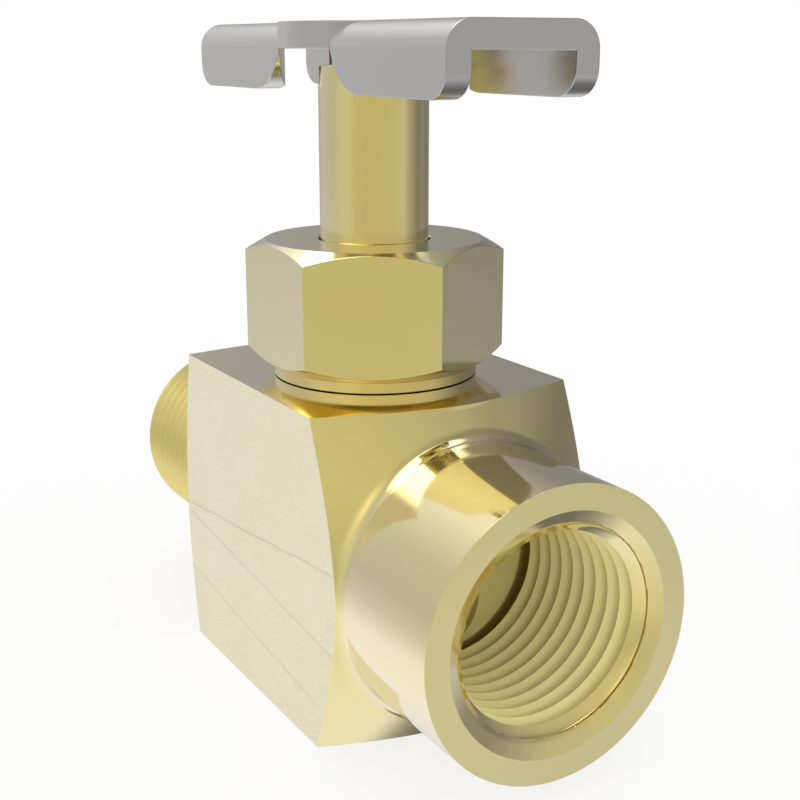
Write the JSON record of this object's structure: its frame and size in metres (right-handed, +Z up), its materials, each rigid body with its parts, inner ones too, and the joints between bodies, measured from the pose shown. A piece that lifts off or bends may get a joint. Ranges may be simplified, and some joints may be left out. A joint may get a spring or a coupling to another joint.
{
  "type": "needle shut-off valve",
  "caption": "Brass needle shut-off valve with a male and a female taper pipe thread in line, a hexagon packing nut, a packed rising stem and a stamped steel bar handle.",
  "frame": {"origin": "middle of the body's flat base, under the stem", "axes": "+X along the pipe towards the female port, the male end towards -X, +Z up the stem; shown shut"},
  "size_m": [0.0594, 0.0228, 0.054],
  "materials": {
    "brass_body": "machined and polished faces, sand-cast sides",
    "brass_turned": "fine turned",
    "packing_white": "moulded, waxy",
    "steel_handle": "stamped and zinc plated, satin",
    "steel_hard": "ground"
  },
  "bodies": {
    "housing": {"body": "brass_body", "packing_nut": "brass_body", "packing_washer": "brass_turned", "packing_bottom_ring": "packing_white", "packing_v_ring_lower": "packing_white", "packing_v_ring_middle": "packing_white", "packing_v_ring_upper": "packing_white", "packing_top_ring": "packing_white", "gland_follower": "brass_turned"},
    "tip": {"needle_tip": "brass_turned"},
    "spindle": {"stem": "brass_turned", "thrust_ball": "steel_hard", "tip_pin": "steel_hard", "handle": "steel_handle", "handle_screw": "steel_handle"}
  },
  "joints": [
    {"name": "stem_lift", "type": "slide", "parent": "housing", "child": "tip", "axis": [0, 0, 1], "range_m": [0, 0.00381]},
    {"name": "handle_turn", "type": "hinge", "parent": "tip", "child": "spindle", "pos_m": [0, 0, 0.0128], "axis": [0, 0, 1], "range_deg": [0, 1080]}
  ],
  "couplings": [
    {"joint": "handle_turn", "follows": "stem_lift", "rad_per_m": 4947.3}
  ]
}
